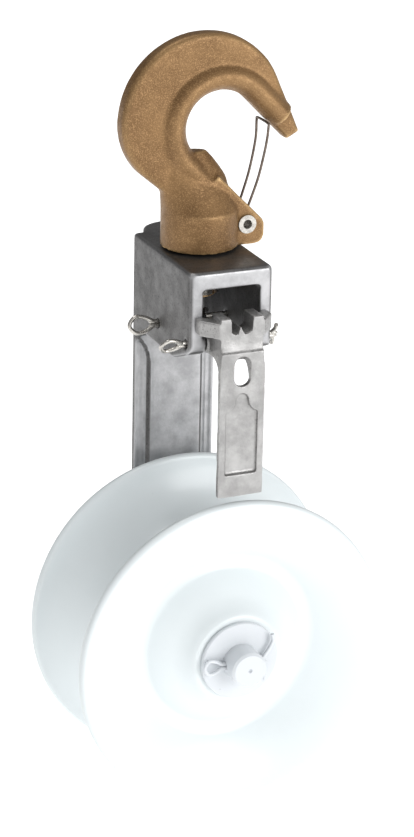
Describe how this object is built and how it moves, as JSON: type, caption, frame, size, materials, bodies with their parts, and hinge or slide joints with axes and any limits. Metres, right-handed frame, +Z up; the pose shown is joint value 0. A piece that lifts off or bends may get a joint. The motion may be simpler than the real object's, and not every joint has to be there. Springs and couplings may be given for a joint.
{
  "type": "stringing block",
  "caption": "Overhead line stringing block: swivel hook with latch over a one-legged cast frame, wide grooved sheave on a cantilevered axle, and an inward-swinging gate.",
  "frame": {"origin": "the hook's seat, where the swivel axis meets the inside of the bowl", "axes": "+Z up along the swivel axis, -Y towards the gate, X along the conductor"},
  "size_m": [0.178, 0.1528, 0.4192],
  "materials": {
    "hook_bronze": "bronze paint over a rough forging",
    "cast_aluminium": "sand-cast, with a machined front",
    "gate_aluminium": "rough cast",
    "sheave_white": "glossy white coat",
    "white_steel": "white paint on steel",
    "zinc_steel": "zinc plated",
    "spring_wire": "dark drawn wire",
    "spring_steel": "oiled spring steel",
    "bearing_steel": "ground"
  },
  "bodies": {
    "hook": {"hook": "hook_bronze", "swivel_washer": "zinc_steel", "swivel_nut": "zinc_steel", "nut_cotter": "zinc_steel", "latch_rivet": "zinc_steel"},
    "latch": {"latch_wire": "spring_wire"},
    "frame": {"frame_casting": "cast_aluminium", "hinge_cotter": "zinc_steel", "anchor_cotter": "zinc_steel", "gate_spring": "spring_steel", "axle": "white_steel", "axle_washer": "white_steel", "axle_cotter": "white_steel", "rear_washer": "zinc_steel", "axle_nut": "zinc_steel", "bearing_inner_rings": "bearing_steel", "bearing_spacer": "bearing_steel"},
    "sheave": {"sheave": "sheave_white", "bearing_outer_rings": "bearing_steel"},
    "gate": {"gate": "gate_aluminium"}
  },
  "joints": [
    {"name": "hook_swivel", "type": "hinge", "parent": "hook", "child": "frame", "pos_m": [0, 0, -0.087], "axis": [0, 0, 1], "continuous": true},
    {"name": "sheave_spin", "type": "hinge", "parent": "frame", "child": "sheave", "pos_m": [0, -0.021, -0.296], "axis": [0, 1, 0], "continuous": true},
    {"name": "gate_swing", "type": "hinge", "parent": "frame", "child": "gate", "pos_m": [0, -0.0392, -0.122], "axis": [1, 0, 0], "range_deg": [0, 60], "stiffness_Nm_per_rad": 0.15, "springref_deg": -20.05},
    {"name": "latch_swing", "type": "hinge", "parent": "hook", "child": "latch", "pos_m": [0.023, 0, -0.0692], "axis": [0, 1, 0], "range_deg": [-35, 0], "stiffness_Nm_per_rad": 0.02, "springref_deg": 17.19}
  ]
}
